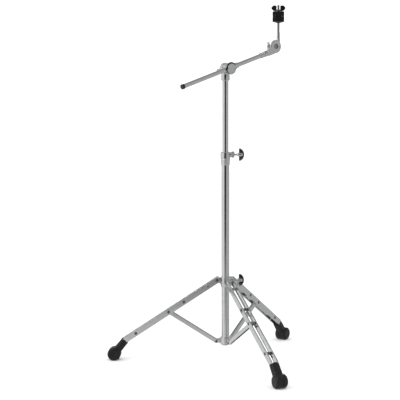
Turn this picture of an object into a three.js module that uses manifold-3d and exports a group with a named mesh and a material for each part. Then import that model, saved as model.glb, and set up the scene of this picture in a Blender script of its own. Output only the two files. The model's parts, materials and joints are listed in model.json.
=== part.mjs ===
// A chrome boom stand for a cymbal: a double-braced folding tripod, a telescopic column, a tilting
// boom arm, and a felt-cushioned cymbal seat on a second tilter at the end of the boom.
// Millimetres, +Z up. The stand rests on z = 0. One leg points along -X, the other two to +X.

import * as THREE from "three";
import { mergeVertices } from "three/addons/utils/BufferGeometryUtils.js";
import Module from "manifold-3d";

const wasm = await Module();
wasm.setup();

// ---------------------------------------------------------------- driving dimensions

const COLUMN_X = 99; // the column stands this far right of the middle of the stand's box
const GAP = 0.3; // clearance between pieces that touch

const BASE_TUBE_RADIUS = 14.3; // 1 1/8 inch tube
const UPPER_TUBE_RADIUS = 11.1; // 7/8 inch tube
const BOOM_RADIUS = 7.95; // 5/8 inch tube
const TUBE_WALL = 1.4;
const BOLT_RADIUS = 4; // M8 bolts and cymbal rod

const LEGS = { left: 180, rear: 60, front: -60 }; // azimuth of each leg, degrees
const FOOT_CIRCLE = 408; // column axis to the middle of each foot
const LEG_SLOPE = THREE.MathUtils.degToRad(33.9);
const LEG_LENGTH = 412; // collar pivot to the end of the rails inside the foot
const LEG_PIVOT = { r: 30, z: 301.8 };
const RAIL = { depth: 21, width: 5, wall: 1.8, spread: 12, spreadAtFoot: 11.5, straight: 200 };
const SPACER_ALONG = 41; // places along a leg, measured from its collar pivot
const BRACE_ALONG = 213.2;
const END_RIVET_ALONG = 358;
const BRACKET_PIVOT = { r: 33, z: 74.8 };
const BRACE = { depth: 15, width: 11, wall: 1.6 };

const COLLAR = { low: 277, high: 313, radius: 18.5, lugHalfWidth: 9.1 };
const CLAMP = { low: 721, ring: 744, high: 768, radius: 17.8 };
const CLAMP_BOLT_Z = 759;
const BUSH_TOP = 751.5; // the guide sleeve's flange lies between the base tube and the clamp
const COLLAR_BOLT_Z = 302;
const BASE_TUBE_LOW = 64;
const BASE_TUBE_HIGH = 748;
const UPPER_TUBE_LOW = 440;
const UPPER_TUBE_HIGH = 1044;
const RIVET_RADIUS = 3; // shank of the rivets and bracket pins

const BOOM_AZIMUTH = THREE.MathUtils.degToRad(41.15);
const BOOM_ELEVATION = THREE.MathUtils.degToRad(16);
const TILTER_Z = 1068; // pivot of the boom tilter
const BOOM_SIDE = 24; // the boom passes this far in front of the column axis
const BOOM_LEFT = -216;
const BOOM_RIGHT = 178;
const BOLT_BORE = BOLT_RADIUS + 0.6;
// The boom tilter's pieces lie side by side on its bolt: the cheek, then the drum with its front
// plate, and a ring in the groove between drum and plate.
const TILTER = { cheek: 8, drumBack: -8.3, drumRadius: 18, grooveBack: -32.3, grooveRadius: 15.3 };
const PLATE = { back: -35.3, front: -38.3, radius: 20 };
const RING = { inner: 15.6, outer: 22.2, back: -32.6, front: -35 };
const HEAD_PIVOT = { x: 217.7, z: 14 }; // from the tilter pivot, along and across the boom
// The head tilter's pieces on its bolt, from the front: the boom's disc and hub, ring, rod carrier.
const HEAD_DISC = { radius: 24, front: -36, back: -30, hubRadius: 15, hubBack: -25.3 };
const HEAD_RING = { radius: 16, front: -25, back: -22.3 };
const CARRIER = { radius: 16.5, front: -22, back: -14, hubRadius: 9, hubBack: 2.4 };
const ROD = { x: 24.4, y: -18, low: 15, high: 149 }; // from the head pivot, upright
const SEAT = { low: 90.3, middle: 108, high: 126 }; // heights of the felts on the rod
const FELT_RADIUS = 21.5;

// Wing nuts: start is where each begins on its bolt, rise how far its wings reach along it.
const TILTER_NUT = { start: 8.8, hub: 17, hubRadius: 8.5, span: 25, rise: 20.4 };
const HEAD_NUT = { start: 2.7, hub: 9, hubRadius: 7.5, span: 16.6, rise: 12 };
const TOP_NUT = { start: SEAT.high + GAP, hub: 4, hubRadius: 15, span: 25.3, rise: 21 };
const TILTER_NUT_TURN = THREE.MathUtils.degToRad(10); // of its wings, from the boom's direction
const HEAD_NUT_TURN = THREE.MathUtils.degToRad(90);

const FINISHES = {
  chrome: { color: 0xc8cacc, roughness: 0.12, metalness: 1 },
  rubber: { color: 0x1c1c1d, roughness: 0.75, metalness: 0 },
  plastic: { color: 0x161617, roughness: 0.45, metalness: 0 },
  felt: { color: 0x1a1a1b, roughness: 0.95, metalness: 0 },
};

// ---------------------------------------------------------------- geometry helpers

function solidOf(geometry) {
  const bare = geometry.clone();
  bare.deleteAttribute("normal");
  bare.deleteAttribute("uv");
  const merged = mergeVertices(bare, 1e-4);
  const vertProperties = merged.attributes.position.array;
  const triVerts = new Uint32Array(merged.index.array);
  return new wasm.Manifold(new wasm.Mesh({ numProp: 3, vertProperties, triVerts }));
}

function geometryOf(solid) {
  const { vertProperties, triVerts } = solid.getMesh();
  const geometry = new THREE.BufferGeometry();
  geometry.setAttribute("position", new THREE.BufferAttribute(vertProperties, 3));
  geometry.setIndex(new THREE.BufferAttribute(triVerts, 1));
  return geometry;
}

function join(first, ...others) {
  return geometryOf(others.reduce((body, other) => body.add(solidOf(other)), solidOf(first)));
}

function cut(first, ...tools) {
  return geometryOf(tools.reduce((body, tool) => body.subtract(solidOf(tool)), solidOf(first)));
}

function common(first, second) {
  return geometryOf(solidOf(first).intersect(solidOf(second)));
}

// A body of revolution about Z, from [radius, height] points.
function turned(profile, sides = 20) {
  const points = profile.map(([radius, height]) => new THREE.Vector2(radius, height));
  return new THREE.LatheGeometry(points, sides).rotateX(Math.PI / 2);
}

function rod(radius, low, high, sides = 10) {
  return turned([[0, low], [radius, low], [radius, high], [0, high]], sides);
}

function tube(inner, outer, low, high, sides = 24) {
  return turned([[inner, low], [outer, low], [outer, high], [inner, high], [inner, low]], sides);
}

function block(x0, x1, y0, y1, z0, z1) {
  const box = new THREE.BoxGeometry(x1 - x0, y1 - y0, z1 - z0);
  return box.translate((x0 + x1) / 2, (y0 + y1) / 2, (z0 + z1) / 2);
}

function alongX(geometry) {
  return geometry.rotateY(Math.PI / 2);
}

function alongY(geometry) {
  return geometry.rotateX(-Math.PI / 2);
}

// A plate standing in the XZ plane, centred on y = 0. The outline is drawn in x and z.
function upright(outline, thickness, curveSegments = 5) {
  const options = { depth: thickness, bevelEnabled: false, curveSegments };
  return new THREE.ExtrudeGeometry(outline, options)
    .rotateX(Math.PI / 2)
    .translate(0, thickness / 2, 0);
}

// A bar's outline with round ends, from x = 0 to x = length.
function roundEnded(length, radius) {
  const outline = new THREE.Shape();
  outline.absarc(0, 0, radius, Math.PI / 2, Math.PI * 1.5);
  outline.absarc(length, 0, radius, -Math.PI / 2, Math.PI / 2);
  return outline;
}

// A pin along Y: a shank with a round head at each end.
function headedPin(shankRadius, headRadius, halfLength, headHeight) {
  const end = halfLength + headHeight;
  return alongY(turned([
    [0, -end], [headRadius, -end], [headRadius, -halfLength], [shankRadius, -halfLength],
    [shankRadius, halfLength], [headRadius, halfLength], [headRadius, end], [0, end],
  ], 10));
}

function named(name, geometry, finish) {
  const mesh = new THREE.Mesh(geometry, new THREE.MeshStandardMaterial(FINISHES[finish]));
  mesh.name = name;
  return mesh;
}

// ---------------------------------------------------------------- column

function column() {
  const group = new THREE.Group();
  group.add(
    named("base_tube", baseTube(), "chrome"),
    named("base_tube_plug", basePlug(), "plastic"),
    named("lower_bracket", lowerBracket(), "chrome"),
    named("tripod_collar", tripodCollar(), "chrome"),
    named("collar_wing_bolt", wingBolt().translate(0, 0, COLLAR_BOLT_Z), "chrome"),
    named("height_clamp", heightClamp(), "chrome"),
    named("height_bush", heightBush(), "plastic"),
    named("height_lock_nut", lockNut().translate(0, 0, CLAMP_BOLT_Z), "chrome"),
    named("height_wing_bolt", wingBolt().translate(0, 0, CLAMP_BOLT_Z), "chrome"),
    named("upper_tube", upperTube(), "chrome"),
  );
  return group;
}

function baseTube() {
  return tube(BASE_TUBE_RADIUS - TUBE_WALL, BASE_TUBE_RADIUS, BASE_TUBE_LOW, BASE_TUBE_HIGH);
}

function upperTube() {
  return tube(UPPER_TUBE_RADIUS - TUBE_WALL, UPPER_TUBE_RADIUS, UPPER_TUBE_LOW, UPPER_TUBE_HIGH);
}

// The plug that closes the foot of the base tube: a flange below, and a spigot inside the tube.
function basePlug() {
  const inside = BASE_TUBE_RADIUS - TUBE_WALL - GAP;
  const flangeTop = BASE_TUBE_LOW - GAP;
  return turned([
    [0, flangeTop - 2.7], [BASE_TUBE_RADIUS, flangeTop - 2.7], [BASE_TUBE_RADIUS, flangeTop],
    [inside, flangeTop], [inside, flangeTop + 12.3], [0, flangeTop + 12.3],
  ], 16);
}

// A ring round the foot of the base tube, with one ear for each brace.
function lowerBracket() {
  const outer = 19;
  const ring = tube(BASE_TUBE_RADIUS + GAP, outer, BASE_TUBE_LOW, BASE_TUBE_LOW + 27);
  const earRadius = 6.5;
  const earThickness = 7;
  const ears = Object.values(LEGS).map((azimuth) => {
    const outline = new THREE.Shape();
    outline.moveTo(outer - 3, BRACKET_PIVOT.z - 10);
    outline.lineTo(BRACKET_PIVOT.r, BRACKET_PIVOT.z - earRadius);
    outline.absarc(BRACKET_PIVOT.r, BRACKET_PIVOT.z, earRadius, -Math.PI / 2, Math.PI / 2);
    outline.lineTo(outer - 3, BRACKET_PIVOT.z + 11);
    const ear = upright(outline, earThickness);
    const hole = alongY(rod(RIVET_RADIUS + GAP, -earThickness, earThickness));
    hole.translate(BRACKET_PIVOT.r, 0, BRACKET_PIVOT.z);
    return cut(ear, hole).rotateZ(THREE.MathUtils.degToRad(azimuth));
  });
  return join(ring, ...ears);
}

// The sliding collar that the legs hang on, with one lug for each leg and a boss for its bolt.
function tripodCollar() {
  const { low, high, radius, lugHalfWidth } = COLLAR;
  const bore = BASE_TUBE_RADIUS + GAP;
  const ring = tube(bore, radius, low, high);
  const lugRadius = 9;
  const lugs = Object.values(LEGS).map((azimuth) => {
    const outline = new THREE.Shape();
    outline.moveTo(bore + 1, LEG_PIVOT.z - lugRadius - 4);
    outline.lineTo(LEG_PIVOT.r, LEG_PIVOT.z - lugRadius);
    outline.absarc(LEG_PIVOT.r, LEG_PIVOT.z, lugRadius, -Math.PI / 2, Math.PI / 2);
    outline.lineTo(bore + 1, LEG_PIVOT.z + lugRadius);
    const lug = upright(outline, 2 * lugHalfWidth);
    const hole = alongY(rod(BOLT_RADIUS + GAP, -lugHalfWidth - 3, lugHalfWidth + 3));
    hole.translate(LEG_PIVOT.r, 0, LEG_PIVOT.z);
    return cut(lug, hole).rotateZ(THREE.MathUtils.degToRad(azimuth));
  });
  const bossEnd = 36;
  const atBolt = (piece) => alongX(piece).translate(0, 0, COLLAR_BOLT_Z);
  const boss = atBolt(rod(7.5, bore + 1, bossEnd, 14));
  const thread = atBolt(rod(BOLT_RADIUS + GAP, bore - 2, bossEnd + 4));
  return cut(join(ring, ...lugs, boss), thread);
}

// A bolt along +X that presses on a tube, with a D-shaped wing to turn it by.
function wingBolt() {
  const flatSide = 48;
  const wingReach = 20;
  const wingHalfHeight = 23.5;
  const outline = new THREE.Shape();
  outline.moveTo(flatSide, 1.5 - wingHalfHeight);
  outline.lineTo(flatSide, wingHalfHeight - 1.5);
  outline.absellipse(flatSide, 0, wingReach, wingHalfHeight, Math.PI * 0.42, -Math.PI * 0.42, true);
  const wing = upright(outline, 6);
  const hub = alongX(turned([[0, 43], [6.5, 44], [6.5, 60], [0, 63]], 12));
  const shank = alongX(rod(BOLT_RADIUS, BASE_TUBE_RADIUS + 0.8, 45));
  return join(shank, hub, wing);
}

// The casting on top of the base tube. Its bolt locks the upper tube.
function heightClamp() {
  const { low, ring, high, radius } = CLAMP;
  const tubeBore = BASE_TUBE_RADIUS + GAP;
  const shell = turned([
    [tubeBore, low], [tubeBore + 0.9, low], [radius - 1.2, ring], [radius, ring],
    [radius, high], [UPPER_TUBE_RADIUS + 0.4, high], [UPPER_TUBE_RADIUS + 0.4, BUSH_TOP + 0.5],
    [tubeBore, BUSH_TOP + 0.5], [tubeBore, low],
  ]);
  const boss = alongX(rod(9, tubeBore + 0.4, 21.6, 14)).translate(0, 0, CLAMP_BOLT_Z);
  const thread = alongX(rod(BOLT_RADIUS + GAP, 8, 30)).translate(0, 0, CLAMP_BOLT_Z);
  return cut(join(shell, boss), thread);
}

// The flanged guide sleeve that the upper tube slides and turns in.
function heightBush() {
  const inner = UPPER_TUBE_RADIUS + GAP;
  const outer = BASE_TUBE_RADIUS - TUBE_WALL - GAP;
  const low = BASE_TUBE_HIGH - 48;
  const flange = BASE_TUBE_HIGH + GAP;
  return turned([
    [inner, low], [outer, low], [outer, flange], [BASE_TUBE_RADIUS, flange],
    [BASE_TUBE_RADIUS, BUSH_TOP], [inner, BUSH_TOP], [inner, low],
  ]);
}

// The knurled nut that keeps the height bolt from working loose.
function lockNut() {
  const bore = BOLT_RADIUS + GAP;
  const radius = 11.5;
  const [face, shoulder, end] = [21.9, 30, 32.4];
  return alongX(turned([
    [bore, face], [radius, face], [radius, shoulder], [radius - 2, end], [bore, end], [bore, face],
  ], 14));
}

// ---------------------------------------------------------------- tripod

// Half the distance between a leg's two rails, at a place along the leg.
function railSpread(along) {
  const share = THREE.MathUtils.clamp((along - RAIL.straight) / (LEG_LENGTH - RAIL.straight), 0, 1);
  return THREE.MathUtils.lerp(RAIL.spread, RAIL.spreadAtFoot, share);
}

// A channel bar along +X with a round upper end, open towards the leg's middle.
function legRail(side) {
  const { depth, width, wall } = RAIL;
  const half = depth / 2;
  const outline = new THREE.Shape([
    new THREE.Vector2(-half, (-side * width) / 2),
    new THREE.Vector2(-half, (side * width) / 2),
    new THREE.Vector2(half, (side * width) / 2),
    new THREE.Vector2(half, (-side * width) / 2),
    new THREE.Vector2(half - wall, (-side * width) / 2),
    new THREE.Vector2(half - wall, side * (width / 2 - wall)),
    new THREE.Vector2(wall - half, side * (width / 2 - wall)),
    new THREE.Vector2(wall - half, (-side * width) / 2),
  ]);
  const options = { depth: LEG_LENGTH + half, steps: 2, bevelEnabled: false };
  const channel = alongX(new THREE.ExtrudeGeometry(outline, options)).translate(-half, 0, 0);
  const place = channel.attributes.position;
  for (let i = 0; i < place.count; i += 1) {
    place.setY(i, place.getY(i) + side * railSpread(place.getX(i)));
  }
  const rounded = common(channel, upright(roundEnded(LEG_LENGTH + 20, half), 40));
  const holes = [
    [0, BOLT_RADIUS], [SPACER_ALONG, RIVET_RADIUS], [BRACE_ALONG, RIVET_RADIUS],
    [END_RIVET_ALONG, RIVET_RADIUS],
  ].map(([along, radius]) => alongY(rod(radius + GAP, -20, 20)).translate(along, 0, 0));
  return cut(rounded, ...holes);
}

// A rivet through both rails, with a collar that keeps them apart.
function spacerRivet(along) {
  const outside = railSpread(along) + RAIL.width / 2 + GAP;
  const inside = outside - RAIL.wall - 2 * GAP;
  const end = outside + 2;
  const shank = RIVET_RADIUS;
  const head = 5.5;
  return alongY(turned([
    [0, -end], [head, -end], [head, -outside], [shank, -outside], [shank, -inside],
    [head, -inside], [head, inside], [shank, inside], [shank, outside], [head, outside],
    [head, end], [0, end],
  ], 10)).translate(along, 0, 0);
}

// The rivet on one rail that carries the brace's upper end from that side.
function braceStud(side) {
  const outside = railSpread(BRACE_ALONG) + RAIL.width / 2 + GAP;
  const inside = outside - RAIL.wall - 2 * GAP;
  const tip = BRACE.width / 2 + 2 * GAP;
  const stud = turned([
    [0, tip], [6, tip], [6, inside], [RIVET_RADIUS, inside], [RIVET_RADIUS, outside],
    [5.5, outside], [5.5, outside + 2], [0, outside + 2],
  ], 10);
  return alongY(stud).rotateZ(side > 0 ? 0 : Math.PI).translate(BRACE_ALONG, 0, 0);
}

// A rubber foot: a rounded barrel lying across the leg, and a neck that holds both rails.
function foot() {
  const radius = 24;
  const centre = radius - 0.8; // the tread is worn flat by this much
  const end = 22.5;
  const chamfer = 4;
  const barrel = alongY(turned([
    [0, -end], [radius - chamfer, -end], [radius, chamfer - end], [radius, end - chamfer],
    [radius - chamfer, end], [0, end],
  ], 18)).translate(FOOT_CIRCLE, 0, centre);
  const neckLean = THREE.MathUtils.degToRad(39); // off the vertical, towards the column
  const neckLength = 67;
  const neck = turned([[0, 0], [15.5, 0], [14.5, neckLength], [0, neckLength]], 12);
  neck.scale(1, 1.18, 1).rotateY(-neckLean).translate(FOOT_CIRCLE, 0, centre);
  const sockets = [-1, 1].map((side) => {
    const middle = side * railSpread(LEG_LENGTH - 10);
    const reach = RAIL.width / 2 + 0.6;
    const half = RAIL.depth / 2 + GAP;
    const socket = block(LEG_LENGTH - 60, LEG_LENGTH + 1, middle - reach, middle + reach, -half, half);
    return socket.rotateY(LEG_SLOPE).translate(LEG_PIVOT.r, 0, LEG_PIVOT.z);
  });
  const ground = block(FOOT_CIRCLE - 60, FOOT_CIRCLE + 60, -40, 40, -20, 0);
  return cut(join(barrel, neck), ...sockets, ground);
}

// A channel bar from the bracket pivot (x = 0) up to the leg, open below, forked at the bracket.
function brace() {
  const { depth, width, wall } = BRACE;
  const half = depth / 2;
  const length = braceLine().length();
  const bar = upright(roundEnded(length, half), width);
  const inside = width / 2 - wall;
  const channel = block(-half - 5, length + half + 5, -inside, inside, -half - 5, half - wall);
  const fork = block(-half - 5, 14, -inside, inside, 0, half + 5);
  const lowerHole = alongY(rod(RIVET_RADIUS + GAP, -10, 10));
  const upperHole = alongY(rod(BOLT_RADIUS + GAP, -10, 10)).translate(length, 0, 0);
  return cut(bar, channel, fork, lowerHole, upperHole);
}

// From a brace's pivot on the bracket to its pivot on the leg, in the leg's upright plane.
function braceLine() {
  const upperR = LEG_PIVOT.r + BRACE_ALONG * Math.cos(LEG_SLOPE);
  const upperZ = LEG_PIVOT.z - BRACE_ALONG * Math.sin(LEG_SLOPE);
  return new THREE.Vector2(upperR - BRACKET_PIVOT.r, upperZ - BRACKET_PIVOT.z);
}

function leg(name, azimuth) {
  const plane = new THREE.Group();
  plane.rotation.z = THREE.MathUtils.degToRad(azimuth);

  const sloping = new THREE.Group();
  sloping.position.set(LEG_PIVOT.r, 0, LEG_PIVOT.z);
  sloping.rotation.y = LEG_SLOPE;
  const pinReach = RAIL.spread + RAIL.width / 2 + GAP;
  sloping.add(
    named(`${name}_rail_a`, legRail(1), "chrome"),
    named(`${name}_rail_b`, legRail(-1), "chrome"),
    named(`${name}_pivot_pin`, headedPin(BOLT_RADIUS, 6.5, pinReach, 2.2), "chrome"),
    named(`${name}_spacer`, spacerRivet(SPACER_ALONG), "chrome"),
    named(`${name}_end_rivet`, spacerRivet(END_RIVET_ALONG), "chrome"),
    named(`${name}_brace_stud_a`, braceStud(1), "chrome"),
    named(`${name}_brace_stud_b`, braceStud(-1), "chrome"),
  );

  const rising = new THREE.Group();
  rising.position.set(BRACKET_PIVOT.r, 0, BRACKET_PIVOT.z);
  rising.rotation.y = -braceLine().angle();
  rising.add(
    named(`${name}_brace`, brace(), "chrome"),
    named(
      `${name}_bracket_pin`,
      headedPin(RIVET_RADIUS, 4.8, BRACE.width / 2 + GAP, 1.6),
      "chrome",
    ),
  );

  plane.add(sloping, rising, named(`${name}_foot`, foot(), "rubber"));
  return plane;
}

// ---------------------------------------------------------------- boom tilter

// The lower casting: a socket on the upper tube and a cheek that the boom's drum is pulled against.
function tilterBase() {
  const socket = turned([[0, -44], [15.7, -44], [15.7, -30], [12, -14], [12, 0], [0, 0]]);
  const half = TILTER.cheek;
  const cheek = alongY(rod(19, -half, half, 20));
  const drumSide = block(-30, 30, -30, -half, -22.5, 10);
  const nutSide = block(-30, 30, half, 30, -22.5, 10);
  const tubeBore = rod(UPPER_TUBE_RADIUS + GAP, -50, UPPER_TUBE_HIGH - TILTER_Z + GAP, 20);
  const boltBore = alongY(rod(BOLT_BORE, -20, 20));
  return cut(join(socket, cheek), drumSide, nutSide, tubeBore, boltBore);
}

// The drum that clamps the boom, with a plate in front and a tapered nose round the boom on the
// side of the head. A pocket inside it holds the eye of the bolt.
function tilterDrum() {
  const { drumBack, drumRadius, grooveBack, grooveRadius } = TILTER;
  const drum = alongY(turned([
    [0, PLATE.front], [PLATE.radius, PLATE.front], [PLATE.radius, PLATE.back],
    [grooveRadius, PLATE.back], [grooveRadius, grooveBack], [drumRadius, grooveBack],
    [drumRadius, drumBack], [0, drumBack],
  ]));
  const nose = alongX(turned([[0, 6], [13.4, 13], [9.6, 38], [0, 38]])).translate(0, -BOOM_SIDE, 0);
  const cheekSide = block(-40, 40, drumBack, 10, -40, 40);
  const groove = alongY(tube(grooveRadius, RING.outer + GAP, PLATE.back, grooveBack));
  const pocket = alongY(rod(12.4, PLATE.front + 2.2, drumBack + 2, 16));
  return cut(join(drum, cut(nose, cheekSide, groove)), pocket, boomBore());
}

function boomBore() {
  return alongX(rod(BOOM_RADIUS + GAP, -40, 40, 20)).translate(0, -BOOM_SIDE, 0);
}

// The eye bolt: the boom passes through its eye, and its shank takes the wing nut.
function eyeBolt() {
  const eye = alongY(rod(12, PLATE.front + 2.5, TILTER.drumBack - GAP, 16));
  const shank = alongY(rod(BOLT_RADIUS, TILTER.drumBack - 2, 30));
  return join(cut(eye, boomBore()), shank);
}

// A wing nut along +Z. Its two wings reach out along X, and rise past the end of its hub.
function wingNut({ start, hub, hubRadius, span, rise }) {
  const body = turned([
    [0, start], [hubRadius, start], [hubRadius - 1.5, start + hub], [0, start + hub],
  ], 12);
  const right = [[0.72, 0.06], [1, 0.4], [1, 0.68], [0.72, 1], [0.42, 1], [0.34, 0.3]];
  const left = right.map(([x, z]) => [-x, z]).reverse();
  const outline = [...right, ...left].map(([x, z]) => new THREE.Vector2(x * span, start + z * rise));
  const wings = upright(new THREE.Shape(outline), 4.5);
  const bore = rod(BOLT_RADIUS + 0.4, start - 5, start + rise + 5);
  return cut(join(body, wings), bore);
}

// The same nut on a bolt along +Y, with its wings turned up from X by an angle.
function sideWingNut(sizes, turn) {
  return alongY(wingNut(sizes).rotateZ(-turn));
}

function boom() {
  const along = new THREE.Group();
  along.rotation.y = -BOOM_ELEVATION;
  const arm = alongX(tube(BOOM_RADIUS - 1.2, BOOM_RADIUS, BOOM_LEFT, BOOM_RIGHT, 20));
  const cap = cut(
    rod(9.2, BOOM_LEFT - 3, BOOM_LEFT + 8, 20),
    rod(BOOM_RADIUS + GAP, BOOM_LEFT - GAP, BOOM_LEFT + 20, 20),
  );
  const ferrule = tube(BOOM_RADIUS + GAP, 9.6, 145, 163, 20);
  along.add(
    named("tilter_drum", tilterDrum(), "chrome"),
    named("tilter_eye_bolt", eyeBolt(), "chrome"),
    named("tilter_ring", alongY(tube(RING.inner, RING.outer, RING.front, RING.back)), "plastic"),
    named("tilter_wing_nut", sideWingNut(TILTER_NUT, TILTER_NUT_TURN), "chrome"),
    named("boom_tube", arm.translate(0, -BOOM_SIDE, 0), "chrome"),
    named("boom_end_cap", alongX(cap).translate(0, -BOOM_SIDE, 0), "plastic"),
    named("boom_ferrule", alongX(ferrule).translate(0, -BOOM_SIDE, 0), "chrome"),
    named("head_tilter_lower", headLower(), "chrome"),
    head(),
  );
  return along;
}

function tilter() {
  const group = new THREE.Group();
  group.position.z = TILTER_Z;
  group.rotation.z = BOOM_AZIMUTH;
  group.add(named("tilter_base", tilterBase(), "chrome"), boom());
  return group;
}

// ---------------------------------------------------------------- cymbal head

// The socket on the end of the boom, which runs into the disc in front of the head's pivot.
function headLower() {
  const { radius, front, back, hubRadius, hubBack } = HEAD_DISC;
  const atPivot = (piece) => alongY(piece).translate(HEAD_PIVOT.x, 0, HEAD_PIVOT.z);
  const socket = alongX(rod(10.4, 163.3, 193, 20)).translate(0, -BOOM_SIDE, 0);
  const outline = new THREE.Shape([
    new THREE.Vector2(176, -9.5),
    new THREE.Vector2(HEAD_PIVOT.x, HEAD_PIVOT.z - radius + 0.5),
    new THREE.Vector2(HEAD_PIVOT.x, HEAD_PIVOT.z),
    new THREE.Vector2(HEAD_PIVOT.x - 20, 18),
    new THREE.Vector2(176, 9),
  ]);
  const armThickness = 5.6;
  const arm = upright(outline, armThickness).translate(0, back - armThickness / 2, 0);
  const disc = atPivot(rod(radius, front, back, 20));
  const hub = atPivot(rod(hubRadius, back - 1, hubBack, 20));
  const tubeBore = alongX(rod(BOOM_RADIUS + GAP, 150, BOOM_RIGHT + GAP, 20));
  tubeBore.translate(0, -BOOM_SIDE, 0);
  const headPocket = atPivot(rod(9.4, front - 4, front + 7, 14));
  const boltBore = atPivot(rod(BOLT_BORE, front, hubBack + 4));
  return cut(join(socket, arm, disc, hub), tubeBore, headPocket, boltBore);
}

// The half that tilts: a disc behind the boom's with a hub for the nut, and an arm to the boss of
// the cymbal rod.
function headUpper() {
  const { radius, front, back, hubRadius, hubBack } = CARRIER;
  const middle = (front + back) / 2;
  const disc = alongY(rod(radius, front, back, 20));
  const hub = alongY(rod(hubRadius, back - 1, hubBack, 16));
  const outline = new THREE.Shape([
    new THREE.Vector2(0, 0.5 - radius),
    new THREE.Vector2(ROD.x, -4),
    new THREE.Vector2(ROD.x, 14),
    new THREE.Vector2(0, radius - 0.5),
  ]);
  const arm = upright(outline, back - front - 0.4).translate(0, middle, 0);
  const boss = rod(6.8, -5, 28, 14).translate(ROD.x, ROD.y, 0);
  const rodBore = rod(BOLT_RADIUS + GAP, ROD.low - GAP, 40).translate(ROD.x, ROD.y, 0);
  const boltBore = alongY(rod(BOLT_BORE, front - 10, hubBack + 10));
  return cut(join(disc, hub, arm, boss), rodBore, boltBore);
}

function headRing() {
  return alongY(tube(BOLT_BORE, HEAD_RING.radius, HEAD_RING.front, HEAD_RING.back, 20));
}

function headBolt() {
  const seat = HEAD_DISC.front + 7 - GAP;
  const capHead = alongY(rod(7, seat - 4.5, seat, 12));
  const hexRecess = alongY(rod(3.6, seat - 6, seat - 2, 6));
  return join(cut(capHead, hexRecess), alongY(rod(BOLT_RADIUS, seat - 1, HEAD_NUT.start + HEAD_NUT.rise)));
}

// A felt washer, bored to slip over the rod.
function feltWasher(low, high) {
  return tube(BOLT_RADIUS + 1, FELT_RADIUS, low, high, 20);
}

// The cup under the felts, wider at its lip.
function seatCup() {
  const bore = BOLT_RADIUS + 0.4;
  const lip = SEAT.low - GAP;
  return turned([
    [bore, lip - 6], [9, lip - 6], [FELT_RADIUS + 1, lip], [bore, lip], [bore, lip - 6],
  ]);
}

function head() {
  const level = new THREE.Group();
  level.position.set(HEAD_PIVOT.x, 0, HEAD_PIVOT.z);
  level.rotation.y = BOOM_ELEVATION;
  level.add(
    named("head_tilter_ring", headRing(), "plastic"),
    named("head_tilter_upper", headUpper(), "chrome"),
    named("head_tilter_bolt", headBolt(), "chrome"),
    named("head_wing_nut", sideWingNut(HEAD_NUT, HEAD_NUT_TURN), "chrome"),
    named("cymbal_rod", rod(BOLT_RADIUS, ROD.low, ROD.high).translate(ROD.x, ROD.y, 0), "chrome"),
  );
  const seat = new THREE.Group();
  seat.position.set(ROD.x, ROD.y, 0);
  seat.add(
    named("rod_sleeve", tube(BOLT_RADIUS + 0.4, 6.3, 28.3, 50, 12), "chrome"),
    named("seat_cup", seatCup(), "plastic"),
    named("lower_felt", feltWasher(SEAT.low, SEAT.middle), "felt"),
    named("upper_felt", feltWasher(SEAT.middle + GAP, SEAT.high), "felt"),
    named("top_wing_nut", wingNut(TOP_NUT).rotateZ(-BOOM_AZIMUTH), "plastic"),
  );
  level.add(seat);
  return level;
}

// ---------------------------------------------------------------- the stand

const stand = new THREE.Group();
stand.position.x = COLUMN_X;
stand.add(column(), tilter());
for (const [name, azimuth] of Object.entries(LEGS)) {
  stand.add(leg(`${name}_leg`, azimuth));
}

const part = new THREE.Group();
part.add(stand);

export default part;
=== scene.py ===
"""A chrome boom stand for a cymbal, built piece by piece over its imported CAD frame.

Each piece is made in millimetres in a local frame that comes from the CAD joints and node boxes,
is placed in metres and rides on a CAD body. It stands for one CAD node, apart from the rivet in
the middle of each leg and the floor, which the CAD model doesn't have.
"""

import json
import math

import bmesh
import bpy
from mathutils import Matrix, Vector, noise


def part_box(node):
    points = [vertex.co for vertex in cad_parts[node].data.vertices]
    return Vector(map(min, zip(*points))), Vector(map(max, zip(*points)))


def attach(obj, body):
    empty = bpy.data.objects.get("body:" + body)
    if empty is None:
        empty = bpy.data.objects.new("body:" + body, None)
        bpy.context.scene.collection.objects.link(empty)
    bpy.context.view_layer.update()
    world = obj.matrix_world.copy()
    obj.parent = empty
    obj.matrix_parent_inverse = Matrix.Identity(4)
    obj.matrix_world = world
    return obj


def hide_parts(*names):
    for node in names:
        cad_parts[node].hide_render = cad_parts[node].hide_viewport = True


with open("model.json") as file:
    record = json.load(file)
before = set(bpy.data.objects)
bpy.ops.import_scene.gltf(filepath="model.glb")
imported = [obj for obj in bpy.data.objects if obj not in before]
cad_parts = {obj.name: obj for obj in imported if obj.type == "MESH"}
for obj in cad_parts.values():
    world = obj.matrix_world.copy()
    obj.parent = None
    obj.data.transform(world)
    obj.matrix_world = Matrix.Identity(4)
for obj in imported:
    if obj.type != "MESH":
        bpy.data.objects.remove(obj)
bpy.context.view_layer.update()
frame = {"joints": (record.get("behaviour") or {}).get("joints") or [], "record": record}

MM = 0.001
UP = Vector((0, 0, 1))
ALONG_X = Matrix.Rotation(math.pi / 2, 4, "Y")  # turns a body's Z axis onto X
ALONG_Y = Matrix.Rotation(-math.pi / 2, 4, "X")  # turns a body's Z axis onto Y
UPRIGHT = Matrix.Rotation(math.pi / 2, 4, "X")  # stands a flat outline up in the XZ plane
LEG_NAMES = ("left_leg", "rear_leg", "front_leg")
BODY_OF = {
    node: body
    for body, nodes in frame["record"]["behaviour"]["bodies"].items()
    for node in nodes
}
JOINTS = {joint["name"]: joint for joint in frame["joints"]}

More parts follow.
